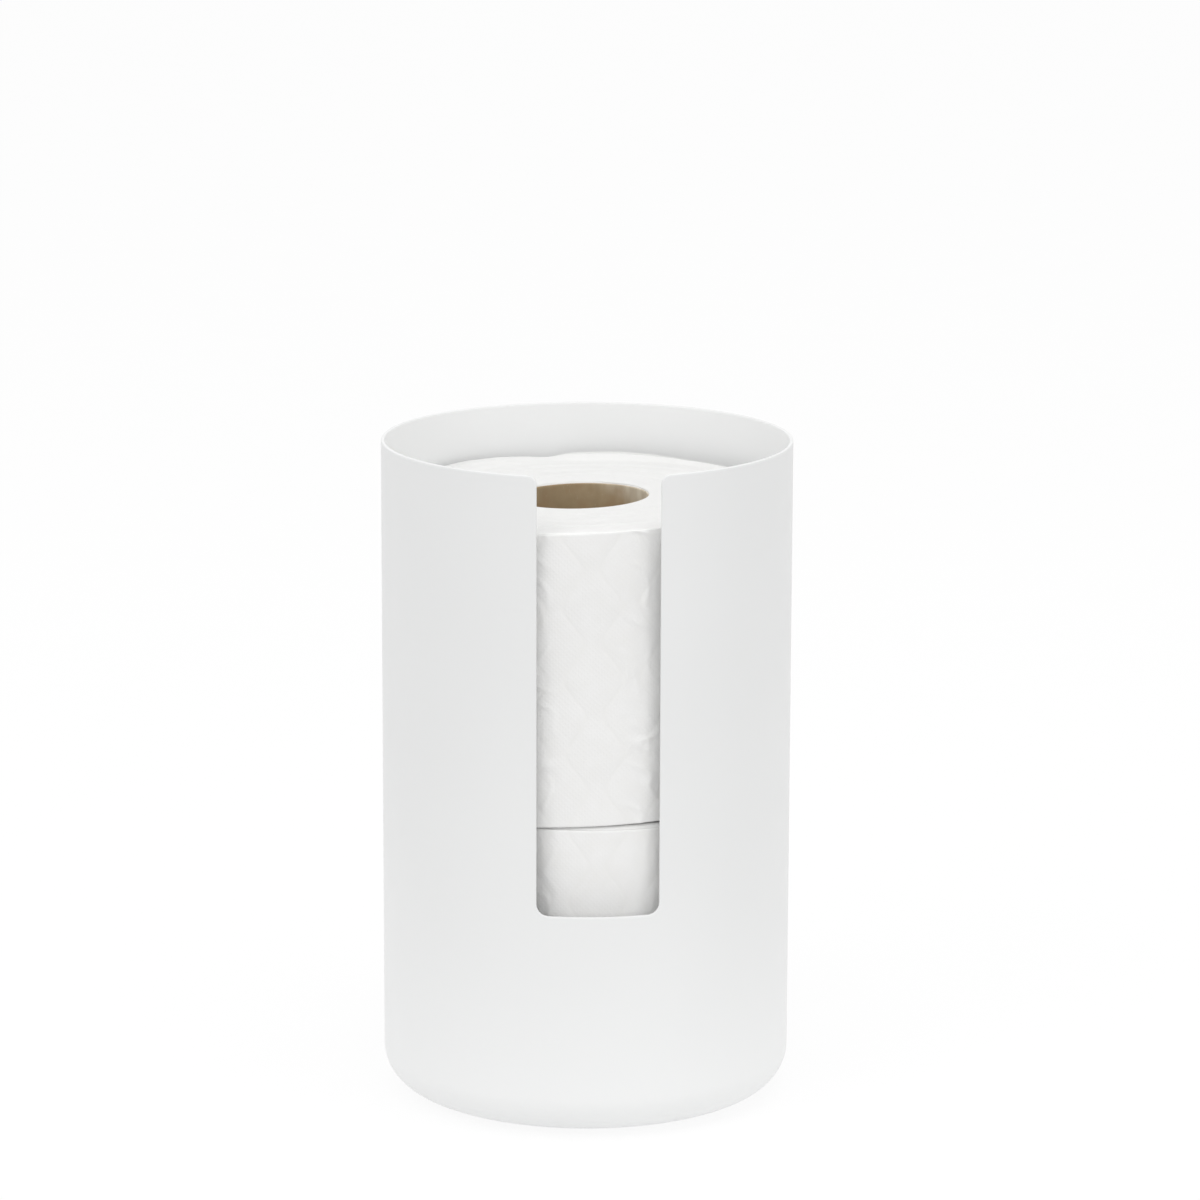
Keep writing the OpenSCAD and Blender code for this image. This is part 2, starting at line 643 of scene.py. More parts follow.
@dataclass(frozen=True)
class Tissue:
    """Soft white embossed paper, as on the outside of a roll. Depths are in millimetres."""

    emboss: Emboss
    colour: Colour = (0.891, 0.890, 0.884)
    shade: Colour = (0.869, 0.866, 0.852)
    mottle: Grain = Grain(7.0, detail=3.0)
    mottle_least: float = 0.2
    crease: Grain = Grain(16.0, detail=1.5, depth=0.35)
    fibre: Grain = Grain(0.7, detail=3.0, roughness=0.6, depth=0.03)
    line_depth: float = 0.022
    line_shade: float = 0.5
    dot_depth: float = 0.025
    roughness: float = 0.95
    gleam: float = 0.2

    def make(self) -> bpy.types.Material:
        """Makes the finish.

        Returns:
            The material.
        """
        graph = new_graph("tissue_embossed")
        where = graph.place()
        pressed, raised = self.emboss.nodes(graph, *graph.winding())
        mottle = graph.spread(graph.noise(where, self.mottle), self.mottle_least)
        colour = graph.blend(mottle, self.shade, self.colour)
        # Painted shade: the pressed lines of the emboss are darkened, as shade in their hollows.
        colour = graph.blend(graph.times(pressed, self.line_shade), colour, self.shade)
        soft = graph.relief(where, self.crease)
        lines = graph.bump(graph.calculate("SUBTRACT", 1.0, pressed), self.line_depth, soft)
        dots = graph.bump(raised, self.dot_depth, lines)
        fibres = graph.relief(where, self.fibre, dots)
        return graph.coated(colour, self.roughness, fibres, Specular_IOR_Level=self.gleam)


@dataclass(frozen=True)
class CutTissue:
    """The cut ends of the wound paper, where its layers show edge on. Lengths are in millimetres.

    On an end the winding map holds turns in X and, in map units, the depth below the outer layer
    in Y.
    """

    colour: Colour = (0.893, 0.892, 0.885)
    shade: Colour = (0.866, 0.862, 0.846)
    layer_pitch: float = 0.42
    layer_depth: float = 0.12
    looseness: Grain = Grain(9.0)
    loose_layers: float = 1.6
    mottle: Grain = Grain(2.5, detail=4.0, roughness=0.65)
    least_shade: float = 0.1
    most_shade: float = 0.8
    fuzz: Grain = Grain(0.5, detail=3.0, roughness=0.6, depth=0.08)
    roughness: float = 0.95
    gleam: float = 0.2
    map_unit: float = 100.0

    def make(self) -> bpy.types.Material:
        """Makes the finish.

        Returns:
            The material.
        """
        graph = new_graph("tissue_cut_end")
        where = graph.place()
        turn, below = graph.winding()
        spiral = graph.calculate("ADD", graph.times(below, self.map_unit / self.layer_pitch), turn)
        loose = graph.times(graph.noise(where, self.looseness), self.loose_layers)
        wave = graph.calculate("SINE", graph.times(graph.calculate("ADD", spiral, loose), FULL))
        edges = graph.calculate("MULTIPLY_ADD", wave, 0.5, 0.5)
        mottle = graph.spread(graph.noise(where, self.mottle), self.least_shade, self.most_shade)
        colour = graph.blend(graph.times(mottle, edges), self.colour, self.shade)
        fuzz = graph.relief(where, self.fuzz, graph.bump(edges, self.layer_depth))
        return graph.coated(colour, self.roughness, fuzz, Specular_IOR_Level=self.gleam)


@dataclass(frozen=True)
class Board:
    """Recycled grey-brown board of the cores.

    The winding map's X counts the turns of the inner ply. A pale band along its joint is painted
    light, turned onto the side of the bore that catches the light. Streaks and fibres run up the
    tube. Stains and specks start and end at the noise's values given.
    """

    colour: Colour = (0.465, 0.365, 0.235)
    shade: Colour = (0.345, 0.257, 0.153)
    rusty: Colour = (0.38, 0.262, 0.155)
    painted_light_colour: Colour = (0.70, 0.632, 0.515)
    speck: Colour = (0.60, 0.53, 0.43)
    cloud: Grain = Grain(14.0, detail=3.0, roughness=0.6)
    streak: Grain = Grain(3.2)
    streak_most: float = 0.45
    stretch: float = 0.3
    stain: Grain = Grain(8.0)
    stained: tuple[float, float] = (0.52, 0.68)
    stain_most: float = 0.6
    fibre: Grain = Grain(0.6, detail=5.0, roughness=0.7, depth=0.06)
    specked: tuple[float, float] = (0.62, 0.72)
    speck_most: float = 0.5
    painted_light_start: float = 0.49
    painted_light_band: tuple[float, float] = (0.30, 0.46)
    roughness: float = 0.88
    gleam: float = 0.25

    def make(self) -> bpy.types.Material:
        """Makes the finish.

        Returns:
            The material.
        """
        graph = new_graph("board_recycled")
        where = graph.place()
        stretched = {"Vector": where, "Scale": (1.0, 1.0, self.stretch)}
        upright = graph.add("Mapping", stretched).outputs[0]
        colour = graph.blend(graph.spread(graph.noise(where, self.cloud)), self.shade, self.colour)
        ply, _ = graph.winding()
        # Painted light: a pale band along the inner ply's joint, turned so that it lightens the
        # side of the bore that faces the light.
        into_ply = graph.calculate("ADD", graph.calculate("FRACT", ply), self.painted_light_start)
        from_joint = graph.calculate("PINGPONG", into_ply, 0.5)
        painted_light_band = graph.ramp(from_joint, self.painted_light_band, kind="SMOOTHSTEP")
        colour = graph.blend(painted_light_band, colour, self.painted_light_colour)
        streak = graph.spread(graph.noise(upright, self.streak), high=self.streak_most)
        colour = graph.blend(streak, colour, self.shade)
        stain = graph.ramp(graph.noise(where, self.stain), self.stained, high=self.stain_most)
        colour = graph.blend(stain, colour, self.rusty)
        fibre = graph.noise(upright, self.fibre)
        specks = graph.times(graph.ramp(fibre, self.specked), self.speck_most)
        colour = graph.blend(specks, colour, self.speck)
        relief = graph.bump(fibre, self.fibre.depth)
        return graph.coated(colour, self.roughness, relief, Specular_IOR_Level=self.gleam)


@dataclass(frozen=True)
class StudioFloor:
    """A pale lit table that the camera sees as near white, with the can's shadow still on it.

    It glows a little more in a pool round the can. Lengths of the pool are in metres.
    """

    colour: Colour = (0.95, 0.95, 0.95)
    mottle: Grain = Grain(40.0)
    mottle_least: float = 0.985
    seen_white: float = 0.86
    lit: float = 0.55
    glow: float = 0.17
    pool: float = 0.71
    pool_start: float = 0.05
    pool_end: float = 0.36

    def make(self) -> bpy.types.Material:
        """Makes the finish.

        Returns:
            The material.
        """
        graph = new_graph("studio_floor")
        seen = graph.seen()
        where = graph.place()
        mottle = graph.spread(graph.noise(where, self.mottle), self.mottle_least)
        colour = graph.blend(mottle, (0.0, 0.0, 0.0), self.colour)
        matte = graph.add("BsdfDiffuse", {"Color": colour}).outputs[0]
        away = graph.add("VectorMath", {0: where}, operation="LENGTH").outputs["Value"]
        span = (self.pool_end, self.pool_start)
        pool = graph.ramp(away, span, self.glow, self.glow + self.pool, kind="SMOOTHSTEP")
        level = graph.ramp(seen, WHOLE_SPAN, pool)
        white = graph.add("Emission", {"Color": WHITE, "Strength": level}).outputs[0]
        share = graph.ramp(seen, WHOLE_SPAN, self.lit, self.seen_white)
        return graph.finished(graph.add("MixShader", {0: share, 1: matte, 2: white}).outputs[0])


def set_up(piece: bpy.types.Object, body: Body, slot: Slot, *nodes: str) -> bpy.types.Object:
    """Puts a piece on its body and hides the nodes of the frame that it replaces.

    Args:
        piece: The piece.
        body: The body that it rides on.
        slot: The record's material slot that its finish belongs to. Not used.
        *nodes: The nodes of the frame that it replaces.

    Returns:
        The piece.
    """
    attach(piece, body.value)
    if nodes:
        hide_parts(*nodes)
    log.info("%s: %d faces, on %s", piece.name, len(piece.data.polygons), body.value)
    return piece


@dataclass
class SheetCan:
    """The drawn can with its slot. Lengths are in millimetres, angles in degrees.

    Its columns of points count from the slot's middle to the right and round. Near the slot, up to
    straight_within from the front, both faces have them square to the cut, and from turned_beyond
    on they stand on the same radius. Each face of the sheet ends one edge radius short of the true
    outline, and a rounded strip joins the two faces there. Plain rows end plain_top below the slot,
    and near_slot and near_rim give the shares of the way at which the crowded rows follow. The lips
    of the foot's groove are rounder inside the can by lip_softening for each millimetre.
    """

    wall: float = 1.2
    corner: float = 13.0
    slot_width: float = 39.6
    slot_height: float = 74.7
    slot_corner: float = 3.8
    slot_mouth: float = 3.0
    edge: float = 0.42
    groove_inside: float = 40.95
    groove_outside: float = 49.05
    groove_depth: float = 1.3
    groove_bend: float = 0.6
    lip_bend: float = 0.25
    lip_softening: float = 0.35
    straight_within: float = 22.0
    turned_beyond: float = 40.0
    arc_steps: int = 8
    edge_steps: int = 4
    corner_steps: int = 18
    floor_steps: int = 6
    below_columns: int = 6
    back_columns: int = 108
    plain_rows: int = 12
    plain_top: float = 4.5
    near_slot: tuple[float, ...] = (0.0, 0.3, 0.55, 0.75, 0.88, 0.94, 1.0)
    side_rows: int = 26
    side_top: float = 0.955
    near_rim: tuple[float, ...] = (0.97, 0.982, 0.991, 0.997, 1.0)
    radius: float = field(init=False)
    base: float = field(init=False)
    rim: float = field(init=False)
    slot_low: float = field(init=False)
    at_side: int = field(init=False)
    angle: Array = field(init=False)
    low: Array = field(init=False)
    high: Array = field(init=False)
    low_inward: Array = field(init=False)
    high_inward: Array = field(init=False)

    def __post_init__(self) -> None:
        """Takes the outer size from the frame and lays out the columns."""
        low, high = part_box("body_shell")
        self.radius = high.x / MM
        self.base = low.z / MM
        self.rim = high.z / MM
        self.slot_low = self.base + self.slot_height
        self.lay_out_columns()

    def lay_out_columns(self) -> None:
        """Works out each column's angle, its ends at the slot and the rim, and where metal lies."""
        side = self.slot_width / 2 + self.edge
        bend = self.slot_corner + self.edge
        flare = self.slot_mouth - self.edge
        quarter = np.radians(np.linspace(0, 90, self.arc_steps + 1))
        below = np.linspace(0, side - bend, self.below_columns, endpoint=False)
        corner = side - bend + bend * np.sin(quarter)
        mouth = side + flare * (1 - np.cos(quarter))
        at_corner = len(below)
        self.at_side = at_corner + self.arc_steps
        at_rim = self.at_side + self.arc_steps
        near = np.arcsin(np.concatenate([below, corner, mouth[1:]]) / self.radius)
        far = np.linspace(near[-1], math.pi, self.back_columns + 1)[1:]
        angle = np.concatenate([near, far])
        low = np.full(len(angle), self.slot_low + self.slot_corner)
        low[:at_corner] = self.slot_low - self.edge
        low[at_corner : self.at_side + 1] -= bend * np.cos(quarter)
        high = np.full(len(angle), self.rim - self.edge)
        high[: self.at_side] = np.nan
        high[self.at_side : at_rim + 1] = self.rim - self.slot_mouth + flare * np.sin(quarter)
        down = np.tile([0.0, -1.0], (len(angle), 1))
        low_inward = down.copy()
        low_inward[at_corner : self.at_side + 1] = np.stack([np.sin(quarter), -np.cos(quarter)], 1)
        high_inward = down.copy()
        high_inward[self.at_side : at_rim + 1] = np.stack([np.cos(quarter), -np.sin(quarter)], 1)

        def mirrored(values: Array, flip: Array | float = 1.0) -> Array:
            """Adds the columns on the left of the slot, from the back to the front."""
            return np.concatenate([values, values[-2:0:-1] * flip])

        sideways = np.array([-1.0, 1.0])
        self.angle = mirrored(angle, -1.0)
        self.low = mirrored(low)
        self.high = mirrored(high)
        self.low_inward = mirrored(low_inward, sideways)
        self.high_inward = mirrored(high_inward, sideways)

    def place(
        self,
        angle: Array,
        height: Array | float,
        depth: float | Array,
        shift: Array | float = 0.0,
    ) -> Array:
        """Points in the sheet.

        Args:
            angle: Angle of the column on the outer face, from the front to the right.
            height: Height above the ground.
            depth: Depth below the outer face.
            shift: Shift to the right, square to the cut.

        Returns:
            XYZ for each.
        """
        reach = self.radius - depth
        cut = np.clip((self.radius * np.sin(angle) + shift) / reach, -1.0, 1.0)
        straight = eased(np.degrees(np.abs(angle)), self.turned_beyond, self.straight_within)
        turned = straight * np.arcsin(cut) + (1 - straight) * angle
        return round_axis(reach, turned, height)

    def side_shares(self) -> Array:
        """Shares of the way from the slot's lower corner to the rim, crowded below the rim."""
        return np.concatenate([np.linspace(0, self.side_top, self.side_rows), self.near_rim])

    def add_face(self, skin: Skin, depth: float, turned: bool) -> None:
        """Adds the upright part of one face of the sheet.

        Args:
            skin: The mesh to add to.
            depth: Depth of the face below the outer one.
            turned: Whether it looks inwards.
        """
        angle = self.angle[None]
        foot = self.slot_low - self.plain_top
        plain = np.linspace(self.base + self.corner, foot, self.plain_rows)[:, None]
        skin.add_grid(self.place(angle, plain, depth), ring=True, turned=turned)
        nearing = foot + np.array(self.near_slot)[:, None] * (self.low - foot)
        skin.add_grid(self.place(angle, nearing, depth), ring=True, turned=turned)
        kept = slice(self.at_side, len(self.angle) - self.at_side + 1)
        rise = self.side_shares()[:, None]
        heights = self.low[kept] + rise * (self.high[kept] - self.low[kept])
        skin.add_grid(self.place(self.angle[kept][None], heights, depth), turned=turned)

    def outline(self) -> tuple[Array, Array, Array]:
        """The edge of the sheet, round the slot and the rim.

        Returns:
            Angle and height of each point where a face ends, and which way the metal lies there.
        """
        last = len(self.angle) - self.at_side
        low, high = self.low[self.at_side], self.high[self.at_side]
        heights = low + self.side_shares()[1:-1] * (high - low)
        right = np.arange(self.at_side + 1)
        top = np.arange(self.at_side, last + 1)
        left = np.arange(last, len(self.angle))
        side = np.full(len(heights), self.angle[self.at_side])
        to_right = np.tile([1.0, 0.0], (len(heights), 1))
        angle = [self.angle[right], side, self.angle[top], -side, self.angle[left]]
        height = [self.low[right], heights, self.high[top], heights[::-1], self.low[left]]
        inward = [self.low_inward[right], to_right, self.high_inward[top]]
        inward += [-to_right, self.low_inward[left]]
        return np.concatenate(angle), np.concatenate(height), np.concatenate(inward)

    def add_edge(self, skin: Skin) -> None:
        """Adds the rounded strip that joins the two faces round the slot and the rim.

        Args:
            skin: The mesh to add to.
        """
        angle, height, inward = self.outline()
        bow = np.radians(np.linspace(0, 90, self.edge_steps + 1))
        out = self.edge * np.sin(bow)
        deep = self.edge * (1 - np.cos(bow))
        out = np.concatenate([out, out[::-1]])[:, None]
        deep = np.concatenate([deep, self.wall - deep[::-1]])[:, None]
        strip = self.place(angle[None], height - out * inward[:, 1], deep, -out * inward[:, 0])
        # The winding map's X marks the rounded edge, where the coat's colour is painted darker as
        # shade on the edge's highlight.
        on_edge = np.sin(np.linspace(0, math.pi, len(out)))[:, None]
        winding = winding_at(np.repeat(on_edge, len(angle) + 1, axis=1), 0.0)
        skin.add_grid(strip, ring=True, turned=True, winding=winding)

    def turned_rows(self, path: Array, depth: float) -> Array:
        """Rows of points where a path of radii and heights is turned about the axis.

        Args:
            path: Radius and height of each row.
            depth: Depth of the face that the rows join, which gives their angles.

        Returns:
            Rows by columns by XYZ.
        """
        joint = self.place(self.angle, 0.0, depth)
        way = joint[:, :2] / np.linalg.norm(joint[:, :2], axis=1, keepdims=True)
        rows = np.zeros((len(path), len(self.angle), 3))
        rows[..., :2] = path[:, None, :1] * way[None]
        rows[..., 2] = path[:, 1:]
        return rows

    def add_bottom(self, skin: Skin) -> None:
        """Adds both faces of the rounded corner and the floor, with the groove for the foot.

        Args:
            skin: The mesh to add to.
        """
        axis = self.radius - self.corner
        bow = np.radians(np.linspace(0, 90, self.corner_steps + 1))
        for depth, turned in ((0.0, True), (self.wall, False)):
            reach = self.corner - depth
            arc_height = self.base + self.corner - reach * np.sin(bow)
            arc = np.stack([axis + reach * np.cos(bow), arc_height], 1)
            level = self.base + depth
            step = level + self.groove_depth
            outside = self.groove_outside + depth
            inside = self.groove_inside - depth
            corners = [(axis, level), (outside, level), (outside, step)]
            corners += [(inside, step), (inside, level), (0.0, level)]
            lip = self.lip_bend + self.lip_softening * depth
            path = rounded_path(corners, [lip, self.groove_bend, self.groove_bend, lip])
            middle = np.linspace(path[-2], path[-1], self.floor_steps + 1)[1:-1]
            path = np.concatenate([arc[:-1], path[:-1], middle, path[-1:]])
            skin.add_grid(self.turned_rows(path, depth), ring=True, turned=turned)

    def build(self, coat: bpy.types.Material) -> bpy.types.Object:
        """Builds the can.

        Args:
            coat: Its finish.

        Returns:
            The piece.
        """
        skin = Skin()
        self.add_face(skin, 0.0, False)
        self.add_face(skin, self.wall, True)
        self.add_edge(skin)
        self.add_bottom(skin)
        piece = skin.build("can_shell", [coat])
        return set_up(piece, Body.HOLDER, Slot.POWDER_COAT, "body_shell")


@dataclass(frozen=True)
class FootRing:
    """The ring under the can, whose shape comes from the frame as it is."""

    node: str = "foot_ring"

    def dress(self, finish: bpy.types.Material) -> bpy.types.Object:
        """Gives the ring its finish.

        Args:
            finish: Its material.

        Returns:
            The piece.
        """
        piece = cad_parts[self.node]
        piece.data.materials.clear()
        piece.data.materials.append(finish)
        log.info("%s: %d faces, as in the frame", piece.name, len(piece.data.polygons))
        return piece


@dataclass(frozen=True)
class Dent:
    """A place on a roll's side that is pressed in, or that stands out where its depth is below 0.

    Its middle and reach are in degrees, its low and high end are shares of the roll's height, and
    its depth is in millimetres.
    """

    middle: float
    reach: float
    low: float
    high: float
    depth: float


@dataclass(frozen=True)
class Creased:
    """A place on the loose turn with fine creases. In degrees, and their height in millimetres."""

    middle: float
    reach: float
    height: float


@dataclass(frozen=True)
class RollShape:
    """One roll's sizes and how its softness shows. Lengths are in millimetres.

    Its own axis runs up from z = 0 at its lower end. The frame's core says where that axis stands.
    The turn's start and arc are in degrees from the front. The slips and the crown pair an angle in
    degrees with how far the paper lies higher there: the loose turn, or the edge of the upper end.
    """

    body: Body
    seed: int
    lean: float = 0.0
    height: float = 96.4
    paper_radius: float = 62.65
    core_radius: float = 23.5
    core_wall: float = 1.0
    core_recess: float = 0.8
    turn_start: float = -30.0
    turn_arc: float = 250.0
    slips: Pairs = ((0.0, 0.0),)
    crown: Pairs = ((0.0, 0.0),)
    dents: tuple[Dent, ...] = ()
    creased: tuple[Creased, ...] = ()
    upper_shoulder: float = 1.7
    lower_shoulder: float = 1.7
    out_of_round: float = 0.12
    softness: float = 0.16
    soft_waves: int = 5

    def node(self, part: str) -> str:
        """Name of one of the roll's nodes in the frame."""
        return self.body.value.replace("roll", part)

    def seat(self) -> Matrix:
        """Works out where the roll's own axis stands.

        Returns:
            The move from the roll's own frame to the can's, in millimetres.
        """
        low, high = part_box(self.node("core"))
        tilt = math.radians(self.lean)
        across = self.core_radius * math.cos(tilt) - self.core_recess * math.sin(tilt)
        up = self.core_recess * math.cos(tilt) - self.core_radius * math.sin(tilt)
        foot = Vector((high.x / MM - across, 0.0, low.z / MM - up))
        return Matrix.Translation(foot) @ Matrix.Rotation(-tilt, 4, "Y")

    def placed(self, points: Array) -> Array:
        """Points of the roll's own frame, put where the roll stands."""
        seat = np.array(self.seat())
        return points @ seat[:3, :3].T + seat[:3, 3]

    def oval(self, turn: Array) -> Array:
        """How far the core and the first layers are out of round."""
        return self.out_of_round * np.cos(2 * FULL * (turn + 0.07 * self.seed))

    def slip(self, turn: Array) -> Array:
        """How far up the last loose turn has slipped, by turns from the front."""
        return round_table(self.slips, turn)

    def swell(self, turn: Array, rise: Array) -> Array:
        """How far the wound paper stands out from its true radius.

        Args:
            turn: Turns from the front.
            rise: Share of the roll's height.

        Returns:
            The distance in millimetres, below 0 in a dent.
        """
        total = self.softness * unevenness(turn, rise, Draw.SWELL + self.seed, self.soft_waves)
        for dent in self.dents:
            across = hump(degrees_from(turn, dent.middle), 0.0, dent.reach)
            along = hump(rise, (dent.low + dent.high) / 2, dent.high - dent.low)
            total = total - dent.depth * across * along
        return total


LOWER_ROLL = RollShape(
    Body.LOWER_ROLL,
    seed=1,
    slips=(
        (-45.0, 0.3),
        (-30.0, 0.45),
        (-20.0, 0.72),
        (-10.0, 0.6),
        (0.0, 0.5),
        (220.0, 0.5),
        (250.0, 0.0),
    ),
    crown=(
        (-100.0, 0.0),
        (-40.0, 0.05),
        (-17.0, 0.52),
        (0.0, 1.22),
        (20.0, 1.7),
        (60.0, 1.9),
        (120.0, 1.8),
        (180.0, 0.9),
    ),
    dents=(Dent(-27.0, 22.0, 0.35, 1.05, 2.6), Dent(0.0, 60.0, 0.60, 0.84, 1.5)),
    creased=(Creased(-15.0, 7.0, 0.22), Creased(16.0, 7.0, 0.2)),
    upper_shoulder=0.9,
)

UPPER_ROLL = RollShape(
    Body.UPPER_ROLL,
    seed=2,
    lean=1.4,
    turn_start=-24.0,
    turn_arc=212.0,
    slips=(
        (-24.0, -0.55),
        (-17.0, -0.45),
        (0.0, -0.05),
        (20.0, 0.15),
        (90.0, 0.8),
        (140.0, 1.0),
        (166.0, 2.2),
        (180.5, 2.1),
        (185.0, 0.9),
        (188.0, 0.4),
        (210.0, 0.0),
        (325.0, 0.0),
    ),
    crown=(
        (0.0, 0.0),
        (175.0, 0.1),
        (183.0, 0.4),
        (188.0, 0.95),
        (195.0, 1.8),
        (205.0, 2.35),
        (215.0, 2.6),
        (225.0, 2.1),
        (235.0, 1.2),
        (245.0, 0.45),
        (260.0, 0.05),
    ),
    dents=(Dent(-22.0, 14.0, -0.2, 1.2, -0.6),),
    creased=(Creased(-14.5, 6.0, 0.32), Creased(14.0, 10.0, 0.4)),
    upper_shoulder=0.6,
    lower_shoulder=0.5,
)


@dataclass(frozen=True)
class WoundPaper:
    """The wound paper of a roll, soft at its ends, with its layers showing there.

    Lengths are in millimetres. Each ridge has the pitch at which it comes back from the core
    outwards and how far it stands proud.
    """

    shape: RollShape
    emboss: Emboss
    columns: int = 392
    side_rows: int = 118
    end_rows: int = 56
    shoulder_points: int = 8
    lip_points: int = 5
    core_fit: float = 0.05
    inner_lip: float = 0.7
    lip_bend: float = 0.8
    lip_depth: float = 2.2
    side_blend: float = 2.0
    end_blend: float = 2.5
    ridges: Pairs = ((7.3, 0.10), (3.9, 0.08), (2.1, 0.06))
    ridge_drift: float = 1.4
    ridge_seed: int = 3
    core_reach: float = 9.0
    crown_start: float = 14.0
    crown_full: float = 1.5
    slip_start: float = 7.0
    slip_full: float = 0.5

    def end_half(self, soft: float) -> Array:
        """Lays out the lower end from the core to the side.

        Args:
            soft: Radius of its outer shoulder.

        Returns:
            Radius and height of each point.
        """
        shape = self.shape
        inner = shape.core_radius + self.core_fit - self.inner_lip + self.lip_bend
        outer = shape.paper_radius - soft
        lip = np.radians(np.linspace(90, 0, self.lip_points))
        bow = np.radians(np.linspace(0, 90, self.shoulder_points))[1:]
        flat = np.linspace(inner, outer, self.end_rows)[1:]
        edge = np.stack([inner - self.lip_bend * np.sin(lip), self.lip_bend * (1 - np.cos(lip))], 1)
        level = np.stack([flat, np.zeros(len(flat))], 1)
        shoulder = np.stack([outer + soft * np.sin(bow), soft * (1 - np.cos(bow))], 1)
        return np.concatenate([edge, level, shoulder])

    def profile(self) -> tuple[Array, Array, Array, Array]:
        """Lays out the closed outline in the half plane, from the core along the lower end.

        Returns:
            Radius and height of each point, how much it belongs to the side and how much to the
            upper (positive) or the lower (negative) end.
        """
        shape = self.shape
        mid = shape.height / 2
        lower = self.end_half(shape.lower_shoulder)
        upper = self.end_half(shape.upper_shoulder)[::-1] * [1, -1] + [0, shape.height]
        top = shape.height - shape.upper_shoulder
        side = np.linspace(shape.lower_shoulder, top, self.side_rows)[1:-1]
        wall = np.stack([np.full(len(side), shape.paper_radius), side], 1)
        heights = np.array([shape.height - self.lip_depth, mid, self.lip_depth])
        bore = np.stack([np.full(3, shape.core_radius + self.core_fit), heights], 1)
        radius, height = np.concatenate([lower, wall, upper, bore, lower[:1]]).T
        on_side = eased(radius, shape.paper_radius - self.side_blend, shape.paper_radius)
        on_end = eased(np.abs(height - mid), mid - self.end_blend, mid) * np.sign(height - mid)
        return radius, height, on_side, on_end

    def layers(self, turn: Array, radius: Array, seed: int) -> Array:
        """How far the edges of the layers stand proud on an end.

        Args:
            turn: Turns from the front.
            radius: Distance from the roll's axis.
            seed: Picks how the layers drift.

        Returns:
            The distance in millimetres, 0 on average.
        """
        total = np.zeros(np.broadcast(turn, radius).shape)
        draw = np.random.default_rng(seed)
        for pitch, proud in self.ridges:
            drift = draw.uniform(0, FULL)
            drift = drift + self.ridge_drift * np.cos(FULL * (turn + draw.uniform()))
            total = total + proud * np.sin(FULL * (radius / pitch + turn) + drift)
        return total

    def slipped(self, radius: Array, turn: Array) -> Array:
        """How far the outer layers have slipped along with the loose turn, in millimetres."""
        below = self.shape.paper_radius - radius
        return eased(below, self.slip_start, self.slip_full) * self.shape.slip(turn)

    def build(self, side: bpy.types.Material, end: bpy.types.Material) -> bpy.types.Object:
        """Builds the paper.

        Args:
            side: Finish of its outside.
            end: Finish of its ends.

        Returns:
            The piece.
        """
        shape = self.shape
        radius, height, on_side, on_end = (part[:, None] for part in self.profile())
        turn = ring_turns(self.columns)
        rise = height / shape.height
        below = shape.paper_radius - radius
        near_core = eased(radius, shape.core_radius + self.core_reach, shape.core_radius)
        outer = eased(below, self.crown_start, self.crown_full)
        reach = radius + near_core * shape.oval(turn)
        reach = reach + on_side * (self.emboss.relief(turn, rise) + shape.swell(turn, rise))
        lifted = np.maximum(on_end, 0) * outer * round_table(shape.crown, turn)
        lifted = lifted + (1 - on_side) * np.abs(on_end) * self.slipped(radius, turn)
        ridges = self.layers(turn, radius, self.ridge_seed * shape.seed)
        uneven = ridges * (1 - on_side) * (1 - near_core)
        points = round_axis(reach, FULL * turn, height + lifted + on_end * uneven)
        along = np.where(on_side > 0.5, rise, below / CutTissue.map_unit)
        winding = winding_at(ring_turns(self.columns, closed=True), along)
        kind = (on_side[:-1, 0] + on_side[1:, 0] < 1.0).astype(int)
        skin = Skin()
        skin.add_grid(shape.placed(points), ring=True, finish=kind, winding=winding)
        piece = skin.build(shape.node("roll_paper"), [side, end])
        return set_up(piece, shape.body, Slot.TISSUE, shape.node("paper"))


